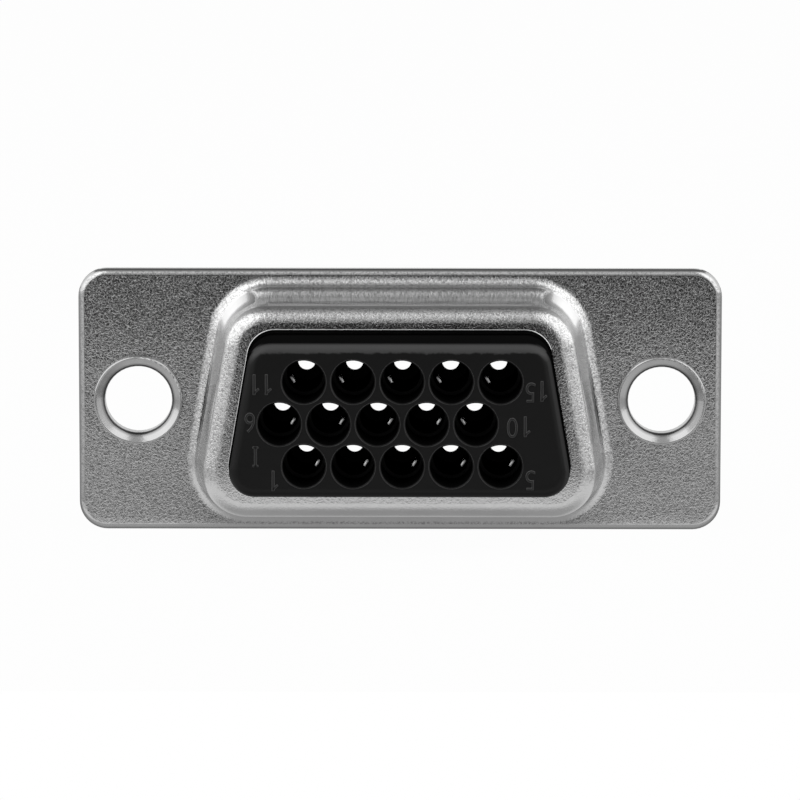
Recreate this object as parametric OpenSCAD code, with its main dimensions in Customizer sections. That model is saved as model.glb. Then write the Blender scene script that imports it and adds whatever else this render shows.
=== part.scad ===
// High-density D connector plug housing for crimp contacts: two drawn steel
// shells riveted together around one black moulded insulator.
// The wire side faces -Y, the mating rim points along +Y, the narrow side of the D is up.
// Sizes are in millimetres. Each piece is drawn lying flat, with the wire side up,
// from the plane where the two flanges meet, and is then stood up by upright().

/* [Flanges] */
// Distance from the foot of the raised D, at its widest, to the middle of a mounting hole
hole_room = 2.285; // [2.2:0.005:4]
// Distance from the middle of a mounting hole to the end of the flange
flange_end = 2.855; // [2.4:0.005:4]
// Flat strip of the flange above and below the raised D
flange_strip = 0.348; // [0.34:0.001:3]
// Corner radius of both flanges
flange_corner = 1.35; // [0.5:0.05:3]
// Thickness of the steel sheet of both shells
sheet = 0.45; // [0.35:0.05:0.55]
// Rounding that the punch leaves on the outer edge of a flange
edge_round = 0.3; // [0.05:0.01:0.3]

/* [D shape] */
// Lean of the two short sides of every D, in degrees
d_lean = 9.7784; // [8:0.0001:12]

/* [Contact cavities] */
// Contact cavities in each row
columns = 5; // [3:1:5]
// Rows of contact cavities
rows = 3; // [2:1:3]
// Distance between neighbouring cavities in a row
contact_pitch = 2.286; // [2.1:0.01:2.4]
// Distance between neighbouring rows
row_pitch = 1.981; // [1.8:0.01:2.2]
// Sideways place of the outer rows' middle, towards +X
array_shift = 0.13; // [-0.3:0.01:0.3]
// Height of the middle row above the mounting holes
array_rise = -0.07; // [-0.15:0.01:0.15]
// Diameter of a cavity at its mouth
mouth_d = 2; // [1.8:0.05:2.1]
// Depth of the wide part of a cavity
mouth_depth = 2.8; // [1.5:0.1:4]
// Width of the broken edge around a mouth
mouth_edge = 0.06; // [0.02:0.01:0.08]
// Diameter of a cavity behind its mouth
body_d = 1.7; // [1.3:0.05:1.75]
// Diameter of the hole that a pin leaves by
pin_hole_d = 0.82; // [0.7:0.02:1]
// Thickness of the web around that hole
pin_web = 0.5; // [0.3:0.05:0.7]
// Diameter of the wider hole in front of the web
front_hole_d = 1.3; // [1.1:0.05:1.35]
// Thickness of the front wall that stops a contact
front_wall = 1.6; // [0.8:0.1:3]

/* [Insulator] */
// Reach of the insulator behind the rear flange
block_reach = 7.4; // [6:0.1:10]
// Plastic beyond the outer cavities at the sides of the block
side_wall = 2.37; // [2:0.01:3]
// Plastic beyond the outer cavities at the top and bottom of the block
end_wall = 0.66; // [0.55:0.01:1]
// Height of the block's middle above the mounting holes
block_rise = 0.085; // [-0.1:0.005:0.1]
// Corner radius of the block's outline
block_corner = 1.2; // [0.6:0.05:1.6]
// Rounding of the block's rear edge
block_edge = 0.42; // [0.1:0.01:0.5]
// Reach of the insulator's nose in front of the meeting plane of the flanges
nose_reach = 0.45; // [0.3:0.05:2]

/* [Rear shell] */
// Height of the raised D above the rear flange
boss_rise = 4.5; // [3:0.1:5.5]
// Width of the flat lip that turns in over the insulator, at the sides
lip_w = 0.5; // [0.2:0.05:0.8]
// Width of that lip at the top and bottom
lip_end = 0.39; // [0.2:0.01:0.8]
// Dip of the lip towards the insulator, in degrees
lip_dip = 0; // [0:1:12]
// Outside radius of the bend at the foot of the raised D
foot_bend = 0.5; // [0.2:0.05:0.8]
// Outside radius of the bend into the lip
lip_bend = 0.75; // [0.6:0.05:1]
// Lean of the drawn wall, in degrees
wall_lean = 7; // [0:0.5:8]
// Corner radius of the raised D at its foot
boss_corner = 3; // [2.4:0.1:4]

/* [Front shell] */
// Distance from the middle of an outer contact to the inside of the rim, at its widest
rim_side = 3.888; // [3.6:0.002:4.4]
// Distance from the middle of an outer row to the inside of the rim
rim_end = 2.199; // [2:0.001:2.5]
// Corner radius inside the mating rim
rim_corner = 2.6; // [1.5:0.05:3.2]
// Length of the mating rim in front of its flange
rim_length = 5.9; // [4:0.1:7]
// Outside radius of the bend between flange and rim
rim_bend = 0.4; // [0.2:0.05:0.6]
// Grounding dimples along each long side of the rim
dimples = 4; // [2:1:6]
// Distance between neighbouring dimples
dimple_pitch = 2.8; // [2:0.1:3]
// Radius of the punch that presses a dimple
dimple_r = 0.9; // [0.6:0.05:1.2]
// Depth of a dimple
dimple_depth = 0.3; // [0.1:0.05:0.4]

/* [Eyelets] */
// Diameter of the clear bore through an eyelet
eyelet_bore = 3.2; // [2.8:0.05:3.3]
// Thickness of the eyelet's tube
eyelet_wall = 0.16; // [0.12:0.01:0.25]
// Radius of the bend under a flared end
eyelet_bend = 0.1; // [0.05:0.01:0.2]
// Turn of a flared end away from the bore, in degrees
eyelet_turn = 53.1301; // [40:0.0001:70]
// Straight length of a flared end beyond its bend
eyelet_flare = 0.36; // [0.2:0.01:0.4]

/* [Clearances] */
// Gap between the block and the lip at the sides
block_gap_side = 0.11; // [0.05:0.01:0.3]
// Gap between the block and the lip at the top and bottom
block_gap_end = 0.25; // [0.1:0.01:0.4]
// Gap between the insulator's shoulder and the rear shell
shoulder_gap = 0.1; // [0.05:0.01:0.15]
// Gap between the insulator's nose and the mating rim
nose_gap = 0.15; // [0.05:0.01:0.4]

/* [Hidden] */
$fn = 64;
// Overshoot of a cut past the surface it opens
over = 1;
// Overlap of the drawn wall's sheet with the flat of its flange
lap = 0.03;

// Block of the insulator around the cavities, and the opening in the lip around the block
block_w = (columns - 1) * contact_pitch + mouth_d + 2 * side_wall;
block_h = (rows - 1) * row_pitch + mouth_d + 2 * end_wall;
opening_w = block_w + 2 * block_gap_side;
opening_h = block_h + 2 * block_gap_end;
opening_corner = block_corner + block_gap_side;

// Raised D of the rear shell: how far its foot lies outside the flat lip
wall_cos = cos(wall_lean);
wall_sin = sin(wall_lean);
bends = foot_bend + lip_bend;
wall_run = (bends + (boss_rise - bends) * wall_sin) / wall_cos;
boss_w = opening_w + 2 * (lip_w + wall_run);
boss_h = opening_h + 2 * (lip_end + wall_run);
lip_u = boss_corner - wall_run;

// Mating rim around the contact grid, and the flange around the raised D
rim_w = (columns - 1) * contact_pitch + 2 * rim_side;
rim_h = (rows - 1) * row_pitch + 2 * rim_end;
hole_pitch = boss_w + 2 * hole_room;
flange_w = hole_pitch + 2 * flange_end;
flange_h = boss_h + 2 * flange_strip;

// Heights above the meeting plane of the flanges
rear_face = sheet;
lip_top = rear_face + boss_rise;
block_top = rear_face + block_reach;
shoulder_top = lip_top - sheet - shoulder_gap - lip_u * tan(lip_dip);
step_floor = -nose_reach + front_wall;

// Eyelets and the holes they sit in
bore_r = eyelet_bore / 2;
eyelet_hole_r = bore_r + eyelet_wall + eyelet_bend;

// Corner centres of an outline that is w wide, h high and rounded by r: half their width at
// the bottom, half their height, the lean of the sides, and the height of the middle
function core_of(w, h, r, lean, rise = 0) = [w / 2 - r, h / 2 - r, lean, rise];
// Half the width between the corner centres at the top
function narrow_of(core) = core[0] - 2 * core[1] * tan(core[2]);

flange_core = core_of(flange_w, flange_h, flange_corner, 0);
boss_core = core_of(boss_w, boss_h, boss_corner, d_lean);
opening_core = core_of(opening_w, opening_h, opening_corner, d_lean, block_rise);
block_core = core_of(block_w, block_h, block_corner, d_lean, block_rise);
rim_core = core_of(rim_w, rim_h, rim_corner, d_lean);

// Stands a piece up, with its wire side towards -Y
module upright() {
    rotate([90, 0, 0]) children();
}

// Length of a section, drawn outwards, that faces +X and runs along +Y
module run(length) {
    translate([0, length, 0]) rotate([90, 0, 0]) linear_extrude(length) children();
}

// Carries a section, drawn outwards from the corner centres, once around the core, in two
// mirrored halves whose long sides overlap in the middle
module sweep(core) {
    wide = core[0];
    narrow = narrow_of(core);
    lean = core[2];
    slant = 2 * core[1] / cos(lean);
    for (half = [0, 1]) mirror([half, 0, 0]) translate([wide, core[3] - core[1], 0]) {
        rotate([90, 0, -90]) linear_extrude(1.5 * wide) children();
        rotate_extrude(angle = 90 + lean, start = -90) children();
        rotate(lean) {
            run(slant) children();
            translate([0, slant, 0]) {
                rotate_extrude(angle = 90 - lean, start = 0) children();
                rotate(90 - lean) run(1.5 * narrow) children();
            }
        }
    }
}

// Outline that runs around the core at the distance r
module outline(core, r) {
    wide = core[0];
    narrow = narrow_of(core);
    low = core[3] - core[1];
    high = core[3] + core[1];
    away = r * [cos(core[2]), sin(core[2])];
    for (half = [0, 1]) mirror([half, 0]) {
        polygon([
            [-wide / 2, low - r],
            [wide, low - r],
            [wide, low] + away,
            [narrow, high] + away,
            [narrow, high + r],
            [-wide / 2, high + r]
        ]);
        translate([wide, low]) circle(r);
        translate([narrow, high]) circle(r);
    }
}

// Prism of that outline between two heights
module prism(core, r, low, high) {
    translate([0, 0, low]) linear_extrude(high - low) outline(core, r);
}

// Solid around the core: a swept section as its rim, and a prism inside the rim
module swept_solid(core, r, low, high) {
    sweep(core) children();
    prism(core, r / 2, low, high);
}

// Section from the core out to u, between two heights, with its upper edge rounded
module bar_section(u, low, high, edge) {
    drop = min(edge, high - low - edge) / 2;
    translate([0, low]) square([u - edge, high - low]);
    translate([0, low]) square([u, high - low - edge]);
    translate([u - edge, high - edge]) intersection() {
        circle(edge);
        translate([-edge / 2, -drop]) square([1.5 * edge, edge + drop]);
    }
}

// Section of the space under the raised D, set in from its outer surface and open below
module boss_section(inset, low) {
    foot = [boss_corner, rear_face + foot_bend];
    bend = [lip_u, lip_top - lip_bend];
    normal = [wall_cos, wall_sin];
    lip = bend + (lip_bend - inset) * [-sin(lip_dip), cos(lip_dip)];
    difference() {
        polygon([
            [0, low],
            [boss_corner + lap, low],
            [boss_corner + lap, rear_face - inset],
            [boss_corner, rear_face - inset],
            foot - (foot_bend + inset) * normal,
            bend + (lip_bend - inset) * normal,
            lip,
            [0, lip[1] - lip[0] * tan(lip_dip)]
        ]);
        translate(foot) circle(foot_bend + inset);
    }
    translate(bend) circle(lip_bend - inset);
}

// Section of the insulator's shoulder, which fills the raised D up to the clearance
module shoulder_section() {
    inset = sheet + shoulder_gap;
    bend = [lip_u, lip_top - lip_bend];
    wall_top = bend + (lip_bend - inset) * [wall_cos, wall_sin];
    polygon([
        [0, 0],
        [wall_top[0] + wall_top[1] * tan(wall_lean), 0],
        wall_top,
        [lip_u, shoulder_top],
        [0, shoulder_top]
    ]);
}

// Section of the space inside a rim wall at u, with the root flared by r into the flange
module rim_section(u, root, r, end) {
    translate([0, end]) square([u, root - end]);
    difference() {
        translate([u, root - r]) square(r);
        translate([u + r, root - r]) circle(r);
    }
}

// Flat flange with rounded outer edges on its outer face, and its two eyelet holes
module flange() {
    difference() {
        swept_solid(flange_core, flange_corner, 0, sheet)
            bar_section(flange_corner, 0, sheet, edge_round);
        for (side = [-1, 1])
            translate([side * hole_pitch / 2, 0, -over])
                cylinder(r = eyelet_hole_r, h = sheet + 2 * over);
    }
}

// Steel shell on the wire side: flange, drawn wall and the lip over the insulator
module rear_shell() {
    color("silver") upright() {
        difference() {
            flange();
            prism(boss_core, boss_corner, -over, sheet + over);
        }
        difference() {
            sweep(boss_core) difference() {
                boss_section(0, 0);
                boss_section(sheet, -over);
            }
            prism(opening_core, opening_corner, lip_top - sheet - over, lip_top + over);
        }
    }
}

// Row of dimples along both long sides of the rim, as balls that reach into its wall
module dimple_balls(r) {
    depth = rim_h / 2 + sheet - dimple_depth + dimple_r;
    for (side = [-1, 1], i = [0:dimples - 1])
        translate([(i - (dimples - 1) / 2) * dimple_pitch, side * depth, -sheet - rim_length / 2])
            sphere(r);
}

// Steel shell on the mating side: flange and the drawn rim around the pins
module front_shell() {
    outer_u = rim_corner + sheet;
    end = -sheet - rim_length;
    color("gainsboro") upright() {
        difference() {
            mirror([0, 0, 1]) flange();
            prism(rim_core, outer_u + rim_bend, -sheet - over, over);
        }
        difference() {
            sweep(rim_core) difference() {
                union() {
                    rim_section(outer_u, -sheet, rim_bend, end);
                    translate([0, -sheet]) square([outer_u + rim_bend + lap, sheet]);
                }
                rim_section(rim_corner, 0, rim_bend + sheet, end - over);
            }
            dimple_balls(dimple_r);
        }
        difference() {
            intersection() {
                dimple_balls(dimple_r + sheet);
                prism(rim_core, rim_corner + sheet / 2, end, 0);
            }
            dimple_balls(dimple_r);
        }
    }
}

// Places of the cavities; every second row is set half a pitch towards -X
module at_cavities() {
    for (row = [0:rows - 1], column = [0:columns - 1]) {
        x = array_shift + (column - (columns - 1) / 2 - (row % 2) / 2) * contact_pitch;
        y = array_rise + ((rows - 1) / 2 - row) * row_pitch;
        translate([x, y, 0]) children();
    }
}

// Stepped cavity for one crimp contact, open at the mouth and at the pin hole
module cavity() {
    mouth_r = mouth_d / 2;
    translate([0, 0, block_top - mouth_edge])
        cylinder(r1 = mouth_r, r2 = mouth_r + 2 * mouth_edge, h = 2 * mouth_edge);
    translate([0, 0, block_top - mouth_depth]) cylinder(r = mouth_r, h = mouth_depth + over);
    translate([0, 0, step_floor]) cylinder(d = body_d, h = block_top - step_floor);
    translate([0, 0, step_floor - pin_web - over / 2]) cylinder(d = pin_hole_d, h = pin_web + over);
    translate([0, 0, -nose_reach - over]) cylinder(d = front_hole_d, h = over + front_wall - pin_web);
}

// Black moulding: nose in the rim, shoulder between the shells, block out of the lip
module insulator() {
    color("#222222") upright() difference() {
        union() {
            prism(rim_core, rim_corner - nose_gap, -nose_reach, 2 * over);
            swept_solid(boss_core, lip_u, 0, shoulder_top) shoulder_section();
            swept_solid(block_core, block_corner, over, block_top)
                bar_section(block_corner, over, block_top, block_edge);
        }
        at_cavities() cavity();
    }
}

// Half section of one flared end of an eyelet, from the meeting plane up: the tube, a bend
// around the edge of the hole, and a straight flare with a round tip
module eyelet_section() {
    outer = eyelet_bend + eyelet_wall;
    along = [sin(eyelet_turn), cos(eyelet_turn)];
    away = [-cos(eyelet_turn), sin(eyelet_turn)];
    bend = [eyelet_hole_r, sheet - eyelet_bend / sin(eyelet_turn)];
    tip = bend + eyelet_flare * along;
    translate([bore_r, 0]) square([eyelet_wall, bend[1]]);
    translate(bend) intersection() {
        polygon([[0, 0], [-3 * outer, 0], 3 * outer * away]);
        difference() {
            circle(outer);
            circle(eyelet_bend);
        }
    }
    polygon([
        bend + eyelet_bend * away,
        bend + outer * away,
        tip + outer * away,
        tip + eyelet_bend * away
    ]);
    translate(tip + (eyelet_bend + eyelet_wall / 2) * away) circle(eyelet_wall / 2);
}

// The two tubular rivets that hold the shells together and leave the mounting holes clear
module eyelets() {
    color("lightgray") upright()
        for (side = [-1, 1])
            translate([side * hole_pitch / 2, 0, 0]) rotate_extrude() {
                eyelet_section();
                mirror([0, 1]) eyelet_section();
            }
}

front_shell();
rear_shell();
insulator();
eyelets();
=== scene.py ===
"""Dresses the crimp connector housing: plated steel shells, eyelets, a black moulded insulator
with raised position numbers, and a plain studio around them."""

import math

import bpy
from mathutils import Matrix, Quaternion, Vector


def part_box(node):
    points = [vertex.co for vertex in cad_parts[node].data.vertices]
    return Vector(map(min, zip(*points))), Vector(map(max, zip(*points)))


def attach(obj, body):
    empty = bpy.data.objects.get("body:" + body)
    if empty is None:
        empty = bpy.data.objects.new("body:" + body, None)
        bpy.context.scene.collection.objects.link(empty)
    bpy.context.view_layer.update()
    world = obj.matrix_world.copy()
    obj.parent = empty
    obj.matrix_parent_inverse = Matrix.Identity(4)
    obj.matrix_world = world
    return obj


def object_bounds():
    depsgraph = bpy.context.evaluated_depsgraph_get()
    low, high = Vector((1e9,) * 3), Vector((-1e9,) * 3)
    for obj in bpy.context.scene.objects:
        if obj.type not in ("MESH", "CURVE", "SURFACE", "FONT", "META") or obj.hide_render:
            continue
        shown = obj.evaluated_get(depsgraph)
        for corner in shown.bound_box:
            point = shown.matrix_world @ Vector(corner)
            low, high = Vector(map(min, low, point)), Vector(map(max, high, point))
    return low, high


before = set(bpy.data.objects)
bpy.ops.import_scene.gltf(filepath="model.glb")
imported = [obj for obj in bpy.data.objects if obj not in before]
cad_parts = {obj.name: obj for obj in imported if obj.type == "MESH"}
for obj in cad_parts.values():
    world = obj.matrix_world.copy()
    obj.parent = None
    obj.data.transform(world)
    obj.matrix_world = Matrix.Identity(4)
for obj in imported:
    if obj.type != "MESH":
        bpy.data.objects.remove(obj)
cad_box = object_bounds()

# Lengths are in millimetres times MM, because the scene is in metres
MM = 0.001

# Places taken from the solids: the face of the lip, the rear face of the block, and the distance of the
# mounting holes from the middle
LIP_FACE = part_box("rear_shell")[0].y
REAR_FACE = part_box("insulator")[0].y
HOLE_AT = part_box("eyelets")[1].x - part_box("eyelets")[1].z


# Small tools

def srgb(code):
    """Linear colour of an sRGB hex code."""
    parts = [int(code[i:i + 2], 16) / 255 for i in (1, 3, 5)]
    return [c / 12.92 if c <= 0.04045 else ((c + 0.055) / 1.055) ** 2.4 for c in parts] + [1]


def direction(azimuth, elevation):
    """Unit vector from the housing, in degrees; azimuth 0 points to the camera, 90 to the right."""
    a, e = math.radians(azimuth), math.radians(elevation)
    return Vector((math.sin(a) * math.cos(e), -math.cos(a) * math.cos(e), math.sin(e)))


def per_metre(size):
    """Texture scale whose features are about that long, in metres."""
    return 1 / size


def add(tree, kind, inputs=(), **settings):
    """Adds a shader node with its settings. Each input is a value, a socket to link, or a node, whose
    first output in use is then linked."""
    made = tree.nodes.new("ShaderNode" + kind)
    for name, value in settings.items():
        setattr(made, name, value)
    for name, value in dict(inputs).items():
        if isinstance(value, bpy.types.Node):
            value = next(socket for socket in value.outputs if socket.enabled)
        if isinstance(value, bpy.types.NodeSocket):
            tree.links.new(value, made.inputs[name])
        else:
            made.inputs[name].default_value = value
    return made


def new_material(name):
    """Empty material, its tree and the coordinates that its patterns read."""
    material = bpy.data.materials.new(name)
    material.use_nodes = True
    tree = material.node_tree
    tree.nodes.clear()
    return material, tree, add(tree, "TexCoord")


def show(tree, surface):
    """Sends a surface shader to the material's output."""
    add(tree, "OutputMaterial", {"Surface": surface})


def dress(piece, material):
    """Gives a piece one material all over."""
    piece.data.materials.clear()
    piece.data.materials.append(material)


def select_only(piece):
    """Leaves one piece selected and active."""
    bpy.ops.object.select_all(action="DESELECT")
    piece.select_set(True)
    bpy.context.view_layer.objects.active = piece


def settle(piece):
    """Moves a piece's place, turn and size into its mesh."""
    select_only(piece)
    bpy.ops.object.transform_apply(location=True, rotation=True, scale=True)


def join(parts, name):
    """Makes one piece of several."""
    select_only(parts[0])
    for part in parts:
        part.select_set(True)
    bpy.ops.object.join()
    parts[0].name = name
    return parts[0]


def copies(model, places):
    """Copies of a model, each with its own mesh and moved to one of the places; the model itself goes."""
    made = []
    for place in places:
        copy = model.copy()
        copy.data = model.data.copy()
        bpy.context.scene.collection.objects.link(copy)
        copy.location = place
        settle(copy)
        made.append(copy)
    bpy.data.objects.remove(model)
    return made


def bevelled_block(size, turn, place, bevel, segments):
    """Block of a size, turned by degrees and put in place, with all its edges bevelled."""
    bpy.ops.object.select_all(action="DESELECT")
    bpy.ops.mesh.primitive_cube_add(size=1)
    block = bpy.context.object
    block.scale = size
    block.rotation_euler = [math.radians(angle) for angle in turn]
    block.location = place
    settle(block)
    bpy.ops.object.mode_set(mode="EDIT")
    bpy.ops.mesh.select_all(action="SELECT")
    bpy.ops.mesh.bevel(offset=bevel, segments=segments)
    bpy.ops.object.mode_set(mode="OBJECT")
    return block


# Plated steel of the shells

# Corner radius of the flanges, width of their rounded edge with the run-in of its smoother skin, and the
# distances from the outline between which the cut edge turns dull
FLANGE_CORNER = 1.35 * MM
ROUNDED_EDGE = 0.28 * MM
ROUNDED_RUN_IN = 0.06 * MM
DULL_FROM = 0.16 * MM
DULL_TO = 0.06 * MM
# Distances from the lip's face between which the lip goes over into its bend, and between which the wide
# foot of an upper corner begins
LIP_END = 0.15 * MM
LIP_FULL = 0.02 * MM
WIDE_FOOT_START = 1.35 * MM
WIDE_FOOT_FULL = 2.55 * MM
# Height around which the lip's lower run begins, how softly its lean starts there, the slope of that lean,
# and the distances above and below that height between which its pits fade
LOWER_LIP = -3.3 * MM
LOWER_LIP_BLEND = 1.2 * MM
LIP_LEAN = 0.065
PITS_ABOVE = 0.8 * MM
PITS_BELOW = 0.6 * MM
# Slopes by which the drawn walls lean more at the sides, less at the top and the bottom, and most of all
# above the wide foot of the upper corners
SIDE_LEAN = 0.12
TOP_LEAN = 0.026
CORNER_LEAN = 0.6
# Size and depth of the crinkled skin, of the sheet's soft waves and of the lines around the drawn walls,
# how many times longer than wide those lines are, the radius of worn edges, and the size of the patches of
# tarnish
CRINKLE_SIZE = 0.11 * MM
CRINKLE_DEPTH = 0.013 * MM
WAVE_SIZE = 5 * MM
WAVE_DEPTH = 0.04 * MM
LINE_SIZE = 0.12 * MM
LINE_DEPTH = 0.002 * MM
LINE_STRETCH = 25
WORN_EDGE = 0.05 * MM
TARNISH_SIZE = 1.5 * MM


def flange_reach(tree, where):
    """How far a point lies beyond the centres of the flange's corners: FLANGE_CORNER at the outline."""
    centres = (cad_box[1] - cad_box[0]) / 2 - Vector((FLANGE_CORNER, 0, FLANGE_CORNER))
    spread = add(tree, "VectorMath", {0: where}, operation="ABSOLUTE")
    beyond = add(tree, "VectorMath", {0: spread, 1: centres}, operation="SUBTRACT")
    outside = add(tree, "VectorMath", {0: beyond, 1: (0, 0, 0)}, operation="MAXIMUM")
    across = add(tree, "VectorMath", {0: outside, 1: (1, 0, 1)}, operation="MULTIPLY")
    return add(tree, "VectorMath", {0: across}, operation="LENGTH")


def sheet_parts(tree, where, facing):
    """Shares, from 0 to 1, in which a point of the sheet belongs to each of its parts."""
    along = add(tree, "SeparateXYZ", {0: where})
    turned = add(tree, "SeparateXYZ", {0: facing})
    steep = add(tree, "SeparateXYZ", {0: add(tree, "VectorMath", {0: facing}, operation="ABSOLUTE")})
    flat = add(tree, "MapRange", {"Value": steep.outputs["Y"], "From Min": 0.2, "From Max": 0.6})
    sides = add(tree, "MapRange", {"Value": steep.outputs["X"], "From Min": 0.4, "From Max": 0.7})
    top = add(tree, "MapRange", {"Value": steep.outputs["Z"], "From Min": 0.9, "From Max": 0.98})
    near_foot = add(tree, "MapRange", {
        "Value": along.outputs["Y"], "From Min": LIP_FACE + WIDE_FOOT_START,
        "From Max": LIP_FACE + WIDE_FOOT_FULL})
    diagonal = add(tree, "Math", {0: steep.outputs["X"], 1: turned.outputs["Z"]}, operation="MULTIPLY")
    corners = add(tree, "MapRange", {
        "Value": diagonal, "From Min": 0.24, "From Max": 0.4, "To Max": near_foot})
    lip = add(tree, "MapRange", {
        "Value": along.outputs["Y"], "From Min": LIP_FACE + LIP_END, "From Max": LIP_FACE + LIP_FULL})
    lower_lip = add(tree, "MapRange", {
        "Value": along.outputs["Z"], "From Min": LOWER_LIP + PITS_ABOVE, "From Max": LOWER_LIP - PITS_BELOW,
        "To Max": lip})
    upward = add(tree, "MapRange", {
        "Value": turned.outputs["Z"], "From Min": -0.2, "From Max": -0.05, "To Max": flat})
    pitted = add(tree, "MapRange", {"Value": lower_lip, "To Min": upward, "To Max": 0.1})
    return {"flat": flat, "sides": sides, "top": top, "corners": corners, "lip": lip, "pitted": pitted}


def sheet_lean(tree, where, parts):
    """Normals of the sheet with edges rounded by wear, and with the walls and the lip leaning as the real
    ones do.
    """
    along = add(tree, "SeparateXYZ", {0: where})
    lower = add(tree, "Math", {0: along.outputs["Z"], 1: LOWER_LIP, 2: LOWER_LIP_BLEND},
                operation="SMOOTH_MIN")
    worn_and_highlight = add(tree, "Bevel", {"Radius": WORN_EDGE}, samples=4)
    open_sides = add(tree, "Bump", {
        "Height": along.outputs["Y"], "Distance": SIDE_LEAN, "Strength": parts["sides"], "Normal": worn_and_highlight})
    steep_top = add(tree, "Bump", {
        "Height": along.outputs["Y"], "Distance": TOP_LEAN, "Strength": parts["top"],
        "Normal": open_sides}, invert=True)
    open_corners = add(tree, "Bump", {
        "Height": along.outputs["Y"], "Distance": CORNER_LEAN, "Strength": parts["corners"],
        "Normal": steep_top})
    return add(tree, "Bump", {
        "Height": lower, "Distance": LIP_LEAN, "Strength": parts["lip"], "Normal": open_corners})


def plated_steel():
    """Tin-plated drawn steel: the flats keep a crinkled satin skin that scatters light in small worm-like
    glints, the drawn walls are ironed smooth with faint lines around them, and cut edges are rounded by
    wear just enough to draw a thin bright line."""
    material, tree, place = new_material("tin_plated_steel")
    where = place.outputs["Object"]
    parts = sheet_parts(tree, where, place.outputs["Normal"])
    reach = flange_reach(tree, where)
    inside_edge = FLANGE_CORNER - ROUNDED_EDGE
    skin = add(tree, "MapRange", {
        "Value": reach, "From Min": inside_edge, "From Max": inside_edge - ROUNDED_RUN_IN, "To Min": 0.25})
    crinkling = add(tree, "Math", {0: parts["flat"], 1: skin}, operation="MULTIPLY")

    crinkle = add(tree, "TexNoise", {
        "Vector": where, "Scale": per_metre(CRINKLE_SIZE), "Detail": 2.0, "Roughness": 0.5,
        "Distortion": 1.0})
    wave = add(tree, "TexNoise", {"Vector": where, "Scale": per_metre(WAVE_SIZE), "Detail": 1.0})
    drawn = add(tree, "Mapping", {"Vector": where, "Scale": (1 / LINE_STRETCH, 1, 1 / LINE_STRETCH)})
    lines = add(tree, "TexNoise", {"Vector": drawn, "Scale": per_metre(LINE_SIZE), "Detail": 2.0})
    leaning = sheet_lean(tree, where, parts)
    waved = add(tree, "Bump", {
        "Height": wave, "Distance": WAVE_DEPTH, "Strength": 1.0, "Normal": leaning})
    lined = add(tree, "Bump", {
        "Height": lines, "Distance": LINE_DEPTH, "Strength": 1.0, "Normal": waved})
    crinkled = add(tree, "Bump", {
        "Height": crinkle, "Distance": CRINKLE_DEPTH, "Strength": crinkling, "Normal": lined})

    tarnish = add(tree, "TexNoise", {"Vector": where, "Scale": per_metre(TARNISH_SIZE), "Detail": 4.0})
    plating = add(tree, "Mix", {
        "Factor": tarnish, "A": srgb("#c8c8c8"), "B": srgb("#d8d8d8")}, data_type="RGBA")
    pits = add(tree, "MapRange", {
        "Value": crinkle, "From Min": 0.55, "From Max": 0.35, "To Max": parts["pitted"]})
    pitted = add(tree, "Mix", {"Factor": pits, "A": plating, "B": srgb("#a8a8a8")}, data_type="RGBA")
    dull = add(tree, "MapRange", {
        "Value": reach, "From Min": FLANGE_CORNER - DULL_FROM, "From Max": FLANGE_CORNER - DULL_TO})
    colour = add(tree, "Mix", {"Factor": dull, "A": pitted, "B": srgb("#9a9a9a")}, data_type="RGBA")

    satin = add(tree, "MapRange", {"Value": tarnish, "To Min": 0.12, "To Max": 0.18})
    ironed = add(tree, "MapRange", {"Value": parts["sides"], "To Min": 0.06, "To Max": 0.22})
    stretched = add(tree, "MapRange", {"Value": parts["corners"], "To Min": ironed, "To Max": 0.35})
    roughness = add(tree, "MapRange", {"Value": parts["flat"], "To Min": stretched, "To Max": satin})
    show(tree, add(tree, "BsdfPrincipled", {
        "Base Color": colour, "Metallic": 1.0, "Roughness": roughness, "Normal": crinkled}))
    return material


# The other metals

# Size and depth of the eyelets' soft dents, the radii between which the painted shade of the rolled edge
# sets in towards the bore, and the places along Y between which it ends on the way into the bore
DENT_SIZE = 0.5 * MM
DENT_DEPTH = 0.01 * MM
PAINTED_SHADE_OUTER = 1.8 * MM
PAINTED_SHADE_INNER = 1.66 * MM
PAINTED_SHADE_END = -0.3 * MM
PAINTED_SHADE_FULL = -0.45 * MM
# Length of the rubbed stretches along the burr
RUB_LENGTH = 0.3 * MM


def eyelet_metal():
    """Plated brass: flared by a turning tool, so it is smooth with soft dents, and painted darker as shade
    where it bends into the bore."""
    material, tree, place = new_material("plated_brass")
    where = place.outputs["Object"]
    dents = add(tree, "TexNoise", {"Vector": where, "Scale": per_metre(DENT_SIZE), "Detail": 3.0})
    dented = add(tree, "Bump", {"Height": dents, "Distance": DENT_DEPTH, "Strength": 1.0})
    folded = add(tree, "VectorMath", {0: where}, operation="ABSOLUTE")
    beside = add(tree, "VectorMath", {0: folded, 1: (HOLE_AT, 0, 0)}, operation="SUBTRACT")
    across = add(tree, "VectorMath", {0: beside, 1: (1, 0, 1)}, operation="MULTIPLY")
    radius = add(tree, "VectorMath", {0: across}, operation="LENGTH")
    # Painted shade: a darker grey on the rolled edge where it bends into the bore
    bore_shade_ring = add(tree, "MapRange", {"Value": radius, "From Min": PAINTED_SHADE_OUTER, "From Max": PAINTED_SHADE_INNER})
    depth = add(tree, "SeparateXYZ", {0: where}).outputs["Y"]
    painted_bore_shade = add(tree, "MapRange", {
        "Value": depth, "From Min": PAINTED_SHADE_END, "From Max": PAINTED_SHADE_FULL, "To Max": bore_shade_ring})
    colour = add(tree, "Mix", {
        "Factor": painted_bore_shade, "A": srgb("#b0b0b0"), "B": srgb("#686868")}, data_type="RGBA")
    roughness = add(tree, "MapRange", {"Value": dents, "To Min": 0.14, "To Max": 0.26})
    show(tree, add(tree, "BsdfPrincipled", {
        "Base Color": colour, "Metallic": 1.0, "Roughness": roughness, "Normal": dented}))
    return material


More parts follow.
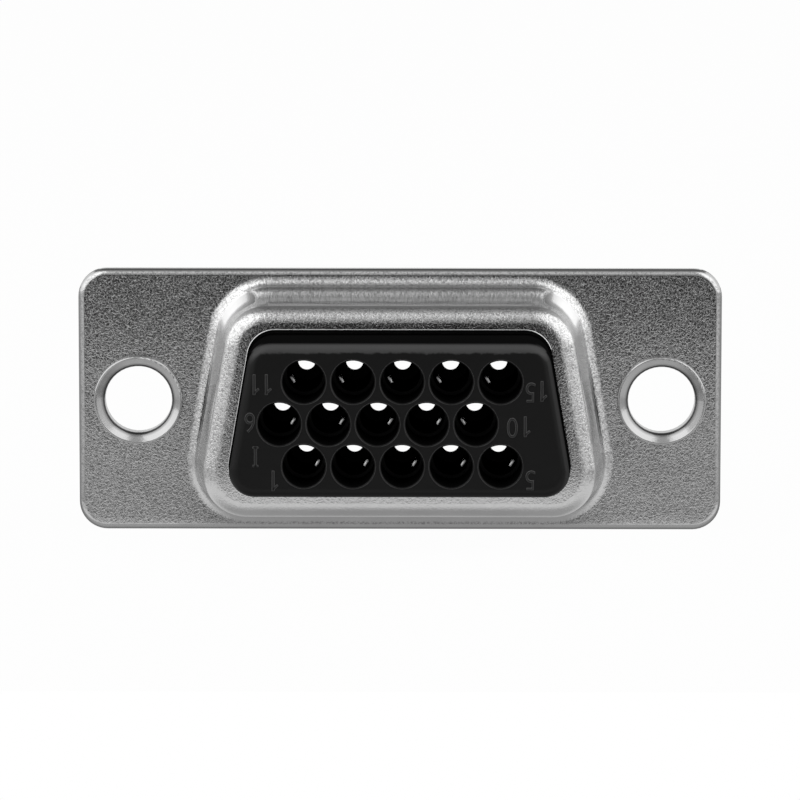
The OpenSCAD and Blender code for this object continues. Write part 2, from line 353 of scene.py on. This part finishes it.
def burnished_steel():
    """Bare burr of the punched edge: burnished bright in some stretches and duller in others."""
    material, tree, place = new_material("burnished_steel")
    rubs = add(tree, "TexNoise", {
        "Vector": place.outputs["Object"], "Scale": per_metre(RUB_LENGTH), "Detail": 2.0})
    roughness = add(tree, "MapRange", {"Value": rubs, "To Min": 0.15, "To Max": 0.4})
    show(tree, add(tree, "BsdfPrincipled", {
        "Base Color": srgb("#e0e0e0"), "Metallic": 1.0, "Roughness": roughness}))
    return material


# Black polyester of the insulator

# Size and depth of the moulded skin and of the flow marks
SKIN_SIZE = 0.12 * MM
SKIN_DEPTH = 0.004 * MM
FLOW_SIZE = 1.6 * MM
FLOW_DEPTH = 0.03 * MM
# Painted highlight along the block's upper edge: its lower border, how wide that is drawn, how far it
# wanders and in what steps, how far from the rear face it reaches, and the height at which the corners join
# in
HIGHLIGHT_BORDER = 3.34 * MM
HIGHLIGHT_BORDER_WIDTH = 0.1 * MM
HIGHLIGHT_WANDER = 0.25 * MM
HIGHLIGHT_STEP = 0.35 * MM
HIGHLIGHT_REACH = 0.85 * MM
HIGHLIGHT_RUN_OUT = 0.2 * MM
HIGHLIGHT_CORNER_LOW = 2.3 * MM
HIGHLIGHT_CORNER_HIGH = 2.7 * MM


def black_polyester(name, painted_highlight_mask, worn_and_highlight):
    """Glass-filled polyester, moulded: deep black with a fine uneven skin, a soft sheen on its faces and
    none on the rougher sides and cavity walls, and a painted highlight of lighter grey where its edges
    catch the light; the second argument gives that share from a shading tree, the surface's direction and
    its place, and the third is that grey."""
    material, tree, place = new_material(name)
    where = place.outputs["Object"]
    skin = add(tree, "TexNoise", {"Vector": where, "Scale": per_metre(SKIN_SIZE), "Detail": 3.0})
    flow = add(tree, "TexNoise", {"Vector": where, "Scale": per_metre(FLOW_SIZE), "Detail": 2.0})
    rolled = add(tree, "Bump", {"Height": flow, "Distance": FLOW_DEPTH, "Strength": 1.0})
    uneven = add(tree, "Bump", {
        "Height": skin, "Distance": SKIN_DEPTH, "Strength": 1.0, "Normal": rolled})
    towards = add(tree, "SeparateXYZ", {0: place.outputs["Normal"]})
    painted_highlight_share = painted_highlight_mask(tree, towards, where)
    # Painted highlight: lighter grey mixed in by the share above
    colour = add(tree, "Mix", {"Factor": painted_highlight_share, "A": srgb("#121212"), "B": srgb(worn_and_highlight)}, data_type="RGBA")
    roughness = add(tree, "MapRange", {"Value": painted_highlight_share, "To Min": 0.35, "To Max": 0.45})
    facing = add(tree, "Math", {0: towards.outputs["Y"]}, operation="ABSOLUTE")
    sheen = add(tree, "MapRange", {"Value": facing, "From Min": 0.3, "From Max": 0.8, "To Max": 0.2})
    show(tree, add(tree, "BsdfPrincipled", {
        "Base Color": colour, "Roughness": roughness, "Specular IOR Level": sheen, "Normal": uneven}))
    return material


def block_painted_highlight(tree, towards, where):
    """Painted highlight along the block's upper rounded edge, with an uneven border on the face, and a
    little along its right-hand edge."""
    wander = add(tree, "TexNoise", {"Vector": where, "Scale": per_metre(HIGHLIGHT_STEP), "Detail": 3.0})
    along = add(tree, "SeparateXYZ", {0: where})
    height = add(tree, "Math", {0: wander, 1: HIGHLIGHT_WANDER, 2: along.outputs["Z"]}, operation="MULTIPLY_ADD")
    upper = add(tree, "MapRange", {
        "Value": height, "From Min": HIGHLIGHT_BORDER, "From Max": HIGHLIGHT_BORDER + HIGHLIGHT_BORDER_WIDTH})
    rear = add(tree, "MapRange", {
        "Value": along.outputs["Y"], "From Min": REAR_FACE + HIGHLIGHT_REACH,
        "From Max": REAR_FACE + HIGHLIGHT_REACH - HIGHLIGHT_RUN_OUT, "To Max": upper})
    high = add(tree, "MapRange", {
        "Value": along.outputs["Z"], "From Min": HIGHLIGHT_CORNER_LOW, "From Max": HIGHLIGHT_CORNER_HIGH})
    rise = add(tree, "Math", {0: towards.outputs["Y"], 1: towards.outputs["Z"]}, operation="MULTIPLY")
    corners = add(tree, "MapRange", {"Value": rise, "From Min": -0.12, "From Max": -0.3, "To Max": high})
    rounded = add(tree, "Math", {0: rear, 1: corners}, operation="MAXIMUM")
    upper_edge = add(tree, "MapRange", {
        "Value": towards.outputs["Z"], "From Min": 0.94, "From Max": 0.75, "To Max": rounded})
    slope = add(tree, "Math", {0: towards.outputs["Y"], 1: towards.outputs["X"]}, operation="MULTIPLY")
    right_edge = add(tree, "MapRange", {
        "Value": slope, "From Min": -0.38, "From Max": -0.48, "To Max": 0.3})
    return add(tree, "Math", {0: upper_edge, 1: right_edge}, operation="MAXIMUM")


def marks_painted_highlight(tree, towards, where):
    """A raised mark is painted lighter grey as a highlight, fully along its bevelled outline and a quarter
    as much on its top.
    """
    return add(tree, "MapRange", {
        "Value": towards.outputs["Y"], "From Min": -1.0, "From Max": -0.9, "To Min": 0.25})


# Raised marks of the moulding, on the rear face of the insulator: the position numbers 1, 5, 6, 10, 11
# and 15, upside down as the mould cuts them, and one short bar

MARK_HEIGHT = 0.97 * MM
MARK_RELIEF = 0.035 * MM
MARK_BEVEL = 0.025 * MM
# Height of a digit as a share of its letter size, and its width as a share of its usual one
DIGIT_SHARE = 0.72
DIGIT_WIDTH = 0.85
# Widths of a stem and of a thinner stroke, length and turn of the flag of a digit one, its place from the
# middle of the stem, and length and distance of the strokes that end the short bar
STEM_WIDTH = 0.14 * MM
STROKE_WIDTH = 0.11 * MM
FLAG_LENGTH = 0.32 * MM
FLAG_TURN = -42
FLAG_ASIDE = 0.1 * MM
FLAG_BELOW = 0.3 * MM
BAR_END_LENGTH = 0.28 * MM
BAR_END_AT = 0.43 * MM
# Middles of the round digits, of the stems of the digits one, and of the short bar, along X and Z
ROUND_DIGITS = {"0": [(5.25, -0.165)], "5": [(6.08, 1.49), (6.09, -2.64)], "6": [(-6.94, 0.055)]}
ONES = [(-6.74, 1.79), (-6.17, 1.79), (6.62, 1.49), (5.85, -0.17), (-5.87, -2.73)]
SHORT_BAR = [(-6.69, -1.6)]


def on_rear_face(middles):
    """Places on the rear face, from middles in millimetres."""
    return [Vector((x * MM, REAR_FACE, z * MM)) for x, z in middles]


def round_digit(text):
    """One round digit with bevelled edges, turned upside down, around the Y axis."""
    bpy.ops.object.select_all(action="DESELECT")
    bpy.ops.object.text_add()
    digit = bpy.context.object
    digit.data.body = text
    digit.data.align_x = "CENTER"
    digit.data.align_y = "CENTER"
    digit.data.size = MARK_HEIGHT / DIGIT_SHARE
    digit.data.extrude = MARK_RELIEF - MARK_BEVEL
    digit.data.offset = -MARK_BEVEL
    digit.data.bevel_depth = MARK_BEVEL
    digit.data.bevel_resolution = 1
    bpy.ops.object.convert(target="MESH")
    digit.scale.x = DIGIT_WIDTH
    digit.rotation_euler = (math.radians(90), math.radians(180), 0)
    settle(digit)
    return digit


def stroke(x, z, width, height, turn=0):
    """One straight stroke of a mark, with half its thickness to be sunk into the rear face."""
    return bevelled_block((width, 2 * MARK_RELIEF, height), (0, turn, 0), (x, 0, z), MARK_BEVEL, 2)


def digit_one():
    """A stem with its flag, which is at the lower end because the digit is upside down."""
    stem = stroke(0, 0, STEM_WIDTH, MARK_HEIGHT)
    flag = stroke(FLAG_ASIDE, -FLAG_BELOW, FLAG_LENGTH, STROKE_WIDTH, FLAG_TURN)
    return join([stem, flag], "digit_one")


def short_bar():
    """A stem with a short stroke across each end."""
    stem = stroke(0, 0, STEM_WIDTH, MARK_HEIGHT)
    ends = [stroke(0, end * BAR_END_AT, BAR_END_LENGTH, STROKE_WIDTH) for end in (-1, 1)]
    return join([stem] + ends, "short_bar")


def raised_marks():
    """All position numbers and the short bar as one piece; each is modelled once and copied."""
    parts = []
    for text, middles in ROUND_DIGITS.items():
        parts += copies(round_digit(text), on_rear_face(middles))
    parts += copies(digit_one(), on_rear_face(ONES))
    parts += copies(short_bar(), on_rear_face(SHORT_BAR))
    return join(parts, "position_numbers")


# Fine lines along edges of the solids: the burr of the lip, on its left and its top only, and the edges of
# the cavity mouths, painted lighter grey as a highlight

BURR_RADIUS = 0.03 * MM
BURR_SHARPNESS = 60
BURR_LOW_END = -3 * MM
BURR_TOP = 3 * MM
BURR_LEFT = -4 * MM
MOUTH_EDGE_RADIUS = 0.009 * MM
MOUTH_SHARPNESS = 30
# Distances under which points of a solid are one, and under which a point lies in a plane
SAME_POINT = 0.001 * MM
IN_PLANE = 0.01 * MM


def on_burr(point):
    """Whether a point of the lip's edge carries the burr."""
    return point.z > BURR_LOW_END and (point.x < BURR_LEFT or point.z > BURR_TOP)


def on_mouth(point):
    """Every sharp edge of the rear face is the mouth of a cavity."""
    return True


def edge_line(name, node, y, sharpness, radius, kept):
    """Fine round line along a node's sharp edges in one plane across Y, where kept says so of a point."""
    line = bpy.data.objects.new(name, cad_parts[node].data.copy())
    bpy.context.scene.collection.objects.link(line)
    select_only(line)
    bpy.ops.object.mode_set(mode="EDIT")
    bpy.ops.mesh.select_all(action="SELECT")
    bpy.ops.mesh.remove_doubles(threshold=SAME_POINT)
    bpy.ops.mesh.select_mode(type="EDGE")
    bpy.ops.mesh.select_all(action="DESELECT")
    bpy.ops.mesh.edges_select_sharp(sharpness=math.radians(sharpness))
    bpy.ops.object.mode_set(mode="OBJECT")
    points = line.data.vertices
    for edge in line.data.edges:
        ends = [points[end].co for end in edge.vertices]
        edge.select = edge.select and all(abs(end.y - y) < IN_PLANE and kept(end) for end in ends)
    bpy.ops.object.mode_set(mode="EDIT")
    bpy.ops.mesh.select_all(action="INVERT")
    bpy.ops.mesh.delete(type="EDGE")
    bpy.ops.object.mode_set(mode="OBJECT")
    bpy.ops.object.convert(target="CURVE")
    line.data.bevel_depth = radius
    line.data.bevel_resolution = 2
    bpy.ops.object.convert(target="MESH")
    bpy.ops.object.shade_smooth()
    return line


# Retention tines, one in each cavity: a short sprung strip whose rear end catches the light. The upper
# row and the last cavity of the middle row have it on their left, the others on their right.

# Rows, columns and pitches of the cavities, the axis of the upper left one, and the cavities whose tine is
# on the left
CAVITY_ROWS = 3
CAVITY_COLUMNS = 5
CAVITY_PITCH = 2.286 * MM
ROW_PITCH = 1.981 * MM
FIRST_CAVITY = Vector((-4.442 * MM, 0, 1.911 * MM))
UPPER_ROW = 0
END_OF_MIDDLE_ROW = (1, CAVITY_COLUMNS - 1)
LEFT = -1
RIGHT = 1
# A tine's thickness, length and width, its depth below the rear face, its place beside and below the
# cavity's axis, its turns in degrees about X, Y and Z, and the rounding of its edges
TINE_THICKNESS = 0.2 * MM
TINE_LENGTH = 0.8 * MM
TINE_WIDTH = 0.42 * MM
TINE_DEPTH = 3.0 * MM
TINE_ASIDE = 0.62 * MM
TINE_BELOW = 0.36 * MM
TINE_DROOP = -12
TINE_ROLL = 30
TINE_SPREAD = -13
TINE_ROUND = 0.04 * MM


def tine(side):
    """One tine for a cavity whose axis is the Y axis."""
    middle = REAR_FACE + TINE_DEPTH + TINE_LENGTH / 2
    strip = bevelled_block(
        (TINE_THICKNESS, TINE_LENGTH, TINE_WIDTH), (TINE_DROOP, TINE_ROLL * side, TINE_SPREAD * side),
        (TINE_ASIDE * side, middle, -TINE_BELOW), TINE_ROUND, 3)
    bpy.ops.object.shade_smooth()
    return strip


def retention_tines():
    """All tines as one piece, copied from a left one and a right one."""
    places = {LEFT: [], RIGHT: []}
    for row in range(CAVITY_ROWS):
        for column in range(CAVITY_COLUMNS):
            on_left = row == UPPER_ROW or (row, column) == END_OF_MIDDLE_ROW
            indent = CAVITY_PITCH / 2 if row % 2 else 0
            shift = Vector((column * CAVITY_PITCH - indent, 0, -row * ROW_PITCH))
            places[LEFT if on_left else RIGHT].append(FIRST_CAVITY + shift)
    return join(copies(tine(LEFT), places[LEFT]) + copies(tine(RIGHT), places[RIGHT]), "retention_tines")


# The housing, dressed: better materials on the solids, and the new pieces

steel = plated_steel()
brass = eyelet_metal()
# The block and its marks get painted highlights of lighter grey along their edges
polyester = black_polyester("black_polyester", block_painted_highlight, "#4c4c4c")
polyester_painted_highlight = black_polyester("polyester_painted_highlight", marks_painted_highlight, "#585858")
for node, material in {"front_shell": steel, "rear_shell": steel, "insulator": polyester,
                       "eyelets": brass}.items():
    dress(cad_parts[node], material)

burr = edge_line("lip_burr", "rear_shell", LIP_FACE, BURR_SHARPNESS, BURR_RADIUS, on_burr)
# The mouth edges are rings with a painted highlight in lighter grey
mouths = edge_line("mouth_edges", "insulator", REAR_FACE, MOUTH_SHARPNESS, MOUTH_EDGE_RADIUS, on_mouth)
for piece, slot, material in (
        (raised_marks(), "black_polyester", polyester_painted_highlight),
        (mouths, "black_polyester", polyester_painted_highlight),
        (burr, "plated_steel", burnished_steel()),
        (retention_tines(), "eyelet_metal", brass)):
    dress(piece, material)
    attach(piece, "root")


# Studio, with its sizes in metres

# The board under the housing: its width, and how far it reaches to the front and to the back
BOARD_WIDTH = 3.0
BOARD_FRONT = 0.04
BOARD_BACK = 2.0
# Share of white in the board as the camera sees it, and the strength of that white
BOARD_SEEN = 0.9
BOARD_WHITE = 1.08
# Brightness painted on the board for what the metal mirrors, a painted reflection: in front, at grazing
# angles to the sides, straight below, in the painted shadow close to the flange, beside that shadow, and
# behind
BOARD_BEFORE = 0.8
BOARD_ASIDE = 0.5
BOARD_BELOW = 0.35
BOARD_SHADED = 0.35
BOARD_BESIDE = 0.8
BOARD_BEHIND = 0.8
# Places along Y on the board between which the housing's shade sets in, the lit board beside that shade
# gives way to the dark close to the flange, and the board behind the housing grows bright
SHADE_START = -4.5 * MM
SHADE_DEEP = -1.8 * MM
LIT_END = -1.3 * MM
DARK_START = -0.9 * MM
BEHIND_START = 8 * MM
BEHIND_FULL = 30 * MM
# Distances to the side between which the shade ends, and the board at a grazing angle grows bright
SHADE_SIDE = 8 * MM
SHADE_PAST = 11 * MM
ASIDE_START = 14 * MM
ASIDE_FULL = 28 * MM
# Softboxes: distance, width, lower and upper edge, then azimuth in degrees and brightness of each
SOFTBOX_DISTANCE = 0.42
SOFTBOX_WIDTH = 0.82
SOFTBOX_LOW = 0.03
SOFTBOX_HIGH = 1.0
SOFTBOXES = {"left_softbox": (-57.5, 1.1), "right_softbox": (63, 1.05)}
# Brightness of the room around as light
ROOM_LEVEL = 0.2
# Brightness of the room as the metal mirrors it: below the horizon in front and to the sides,
# above it in front, low and high, overhead and behind, and to the sides, and the white backdrop that
# ends a little above the housing
MIRRORED_LOW = 0.02
MIRRORED_ASIDE = 0.65
MIRRORED_FRONT = 0.4
MIRRORED_HIGH = 0.7
MIRRORED_AROUND = 0.21
MIRRORED_SIDES = 0.8
MIRRORED_BACKDROP = 0.9


def mirrored_board(tree, where):
    """Brightness that the metal mirrors from each place of the board: a painted reflection, with a painted
    shadow of the housing close to the flange.
    """
    place = add(tree, "SeparateXYZ", {0: where})
    sideways = add(tree, "Math", {0: place.outputs["X"]}, operation="ABSOLUTE")
    slant = add(tree, "LayerWeight", {"Blend": 0.5}).outputs["Facing"]
    below = add(tree, "MapRange", {
        "Value": slant, "From Min": 0.1, "From Max": 0.4, "To Min": BOARD_BELOW, "To Max": BOARD_BEFORE})
    before = add(tree, "MapRange", {"Value": slant, "From Min": 0.84, "From Max": 0.75, "To Max": below})
    beside = add(tree, "MapRange", {
        "Value": place.outputs["Y"], "From Min": LIT_END, "From Max": DARK_START,
        "To Min": BOARD_BESIDE, "To Max": BOARD_BELOW})
    close_by = add(tree, "MapRange", {
        "Value": sideways, "From Min": SHADE_SIDE, "From Max": SHADE_PAST,
        "To Min": BOARD_SHADED, "To Max": beside})
    shaded = add(tree, "MapRange", {
        "Value": place.outputs["Y"], "From Min": SHADE_START, "From Max": SHADE_DEEP,
        "To Min": before, "To Max": close_by})
    aside = add(tree, "MapRange", {
        "Value": sideways, "From Min": ASIDE_START, "From Max": ASIDE_FULL, "To Max": BOARD_ASIDE})
    behind = add(tree, "MapRange", {
        "Value": place.outputs["Y"], "From Min": BEHIND_START, "From Max": BEHIND_FULL,
        "To Max": BOARD_BEHIND})
    open_board = add(tree, "Math", {0: shaded, 1: aside}, operation="MAXIMUM")
    return add(tree, "Math", {0: open_board, 1: behind}, operation="MAXIMUM")


def white_board():
    """Matt white board. It looks near white and keeps part of the object's shadow; its own colour is a
    grey, to keep down the light that it throws back at the housing."""
    material, tree, place = new_material("white_board")
    ray = add(tree, "LightPath")
    board = add(tree, "BsdfDiffuse", {"Color": srgb("#8c8c8c")})
    white = add(tree, "Emission", {"Strength": BOARD_WHITE})
    seen = add(tree, "Math", {0: ray.outputs["Is Camera Ray"], 1: ray.outputs["Is Transmission Ray"]},
               operation="MAXIMUM")
    brightness = mirrored_board(tree, place.outputs["Object"])
    glossy = add(tree, "Math", {0: brightness, 1: BOARD_WHITE}, operation="DIVIDE")
    mirrored = add(tree, "Math", {0: ray.outputs["Is Glossy Ray"], 1: glossy}, operation="MULTIPLY")
    share = add(tree, "MapRange", {"Value": seen, "To Min": mirrored, "To Max": BOARD_SEEN})
    show(tree, add(tree, "MixShader", {0: share, 1: board, 2: white}))
    return material


def floor():
    """White board that the housing stands on. It ends a little in front of it, so that the metal mirrors
    the dark below the board too; in the picture that edge is lost in white."""
    bpy.ops.object.select_all(action="DESELECT")
    bpy.ops.mesh.primitive_plane_add(size=1)
    board = bpy.context.object
    board.name = "floor"
    board.scale = (BOARD_WIDTH, BOARD_FRONT + BOARD_BACK, 1)
    board.location = (0, (BOARD_BACK - BOARD_FRONT) / 2, cad_box[0][2])
    settle(board)
    dress(board, white_board())


def softbox(name, azimuth, radiance):
    """Upright rectangular lamp that faces the housing's axis, given by the brightness of its front."""
    height = SOFTBOX_HIGH - SOFTBOX_LOW
    lamp = bpy.data.lights.new(name, "AREA")
    lamp.shape = "RECTANGLE"
    lamp.size = SOFTBOX_WIDTH
    lamp.size_y = height
    lamp.energy = radiance * math.pi * SOFTBOX_WIDTH * height
    away = direction(azimuth, 0)
    holder = bpy.data.objects.new(name, lamp)
    holder.location = SOFTBOX_DISTANCE * away + Vector((0, 0, SOFTBOX_LOW + height / 2))
    holder.rotation_euler = (-away).to_track_quat("-Z", "Y").to_euler()
    bpy.context.scene.collection.objects.link(holder)


def mirrored_room(tree):
    """Brightness that the metal mirrors from each direction of the room."""
    towards = add(tree, "SeparateXYZ", {0: add(tree, "TexCoord").outputs["Generated"]})
    sideways = add(tree, "Math", {0: towards.outputs["X"]}, operation="ABSOLUTE")
    under = add(tree, "MapRange", {
        "Value": sideways, "From Min": 0.12, "From Max": 0.35,
        "To Min": MIRRORED_LOW, "To Max": MIRRORED_ASIDE})
    front = add(tree, "MapRange", {
        "Value": towards.outputs["Z"], "From Min": 0.3, "From Max": 0.6,
        "To Min": MIRRORED_FRONT, "To Max": MIRRORED_HIGH})
    around = add(tree, "MapRange", {
        "Value": sideways, "From Min": 0.15, "From Max": 0.75,
        "To Min": MIRRORED_AROUND, "To Max": MIRRORED_SIDES})
    over = add(tree, "MapRange", {
        "Value": towards.outputs["Y"], "From Min": -0.6, "From Max": 0.35,
        "To Min": front, "To Max": around})
    wall = add(tree, "MapRange", {
        "Value": towards.outputs["Z"], "From Min": 0.0, "From Max": 0.14, "To Min": under, "To Max": over})
    low = add(tree, "MapRange", {"Value": towards.outputs["Z"], "From Min": 0.36, "From Max": 0.2})
    behind = add(tree, "MapRange", {
        "Value": towards.outputs["Y"], "From Min": 0.6, "From Max": 0.85, "To Max": low})
    return add(tree, "MapRange", {"Value": behind, "To Min": wall, "To Max": MIRRORED_BACKDROP})


def studio():
    """Two large softboxes left and right of the camera, in a dim room that the camera sees as white."""
    for name, (azimuth, radiance) in SOFTBOXES.items():
        softbox(name, azimuth, radiance)
    world = bpy.data.worlds.new("studio")
    bpy.context.scene.world = world
    world.use_nodes = True
    tree = world.node_tree
    tree.nodes.clear()
    ray = add(tree, "LightPath")
    seen = add(tree, "Math", {0: ray.outputs["Is Camera Ray"], 1: ray.outputs["Is Transmission Ray"]},
               operation="MAXIMUM")
    room = add(tree, "MapRange", {
        "Value": ray.outputs["Is Glossy Ray"], "To Min": ROOM_LEVEL, "To Max": mirrored_room(tree)})
    strength = add(tree, "Math", {0: seen, 1: room}, operation="MAXIMUM")
    air = add(tree, "Background", {"Color": (1, 1, 1, 1), "Strength": strength})
    add(tree, "OutputWorld", {"Surface": air})


# Camera, fitted to the photograph: distance, and angles in degrees about the middle of the rear flange
VIEW_DISTANCE = 264.8 * MM
VIEW_AZIMUTH = 0.24
VIEW_ELEVATION = 8.3
VIEW_ROLL = 0.05
VIEW_TARGET = Vector((0, -0.45 * MM, 0))
# Focal length and picture width in the camera's own millimetres, and how close the camera sees
VIEW_LENS = 249.46
VIEW_SENSOR = 36
VIEW_NEAREST = 0.01


def camera():
    """Long lens in front of the wire side, a little above it."""
    lens = bpy.data.cameras.new("camera")
    lens.lens = VIEW_LENS
    lens.sensor_width = VIEW_SENSOR
    lens.clip_start = VIEW_NEAREST
    away = direction(VIEW_AZIMUTH, VIEW_ELEVATION)
    turn = (-away).to_track_quat("-Z", "Y") @ Quaternion((0, 0, 1), math.radians(VIEW_ROLL))
    holder = bpy.data.objects.new("camera", lens)
    holder.location = VIEW_TARGET + VIEW_DISTANCE * away
    holder.rotation_euler = turn.to_euler()
    bpy.context.scene.collection.objects.link(holder)
    bpy.context.scene.camera = holder


floor()
studio()
camera()
bpy.context.scene.view_settings.view_transform = "Standard"
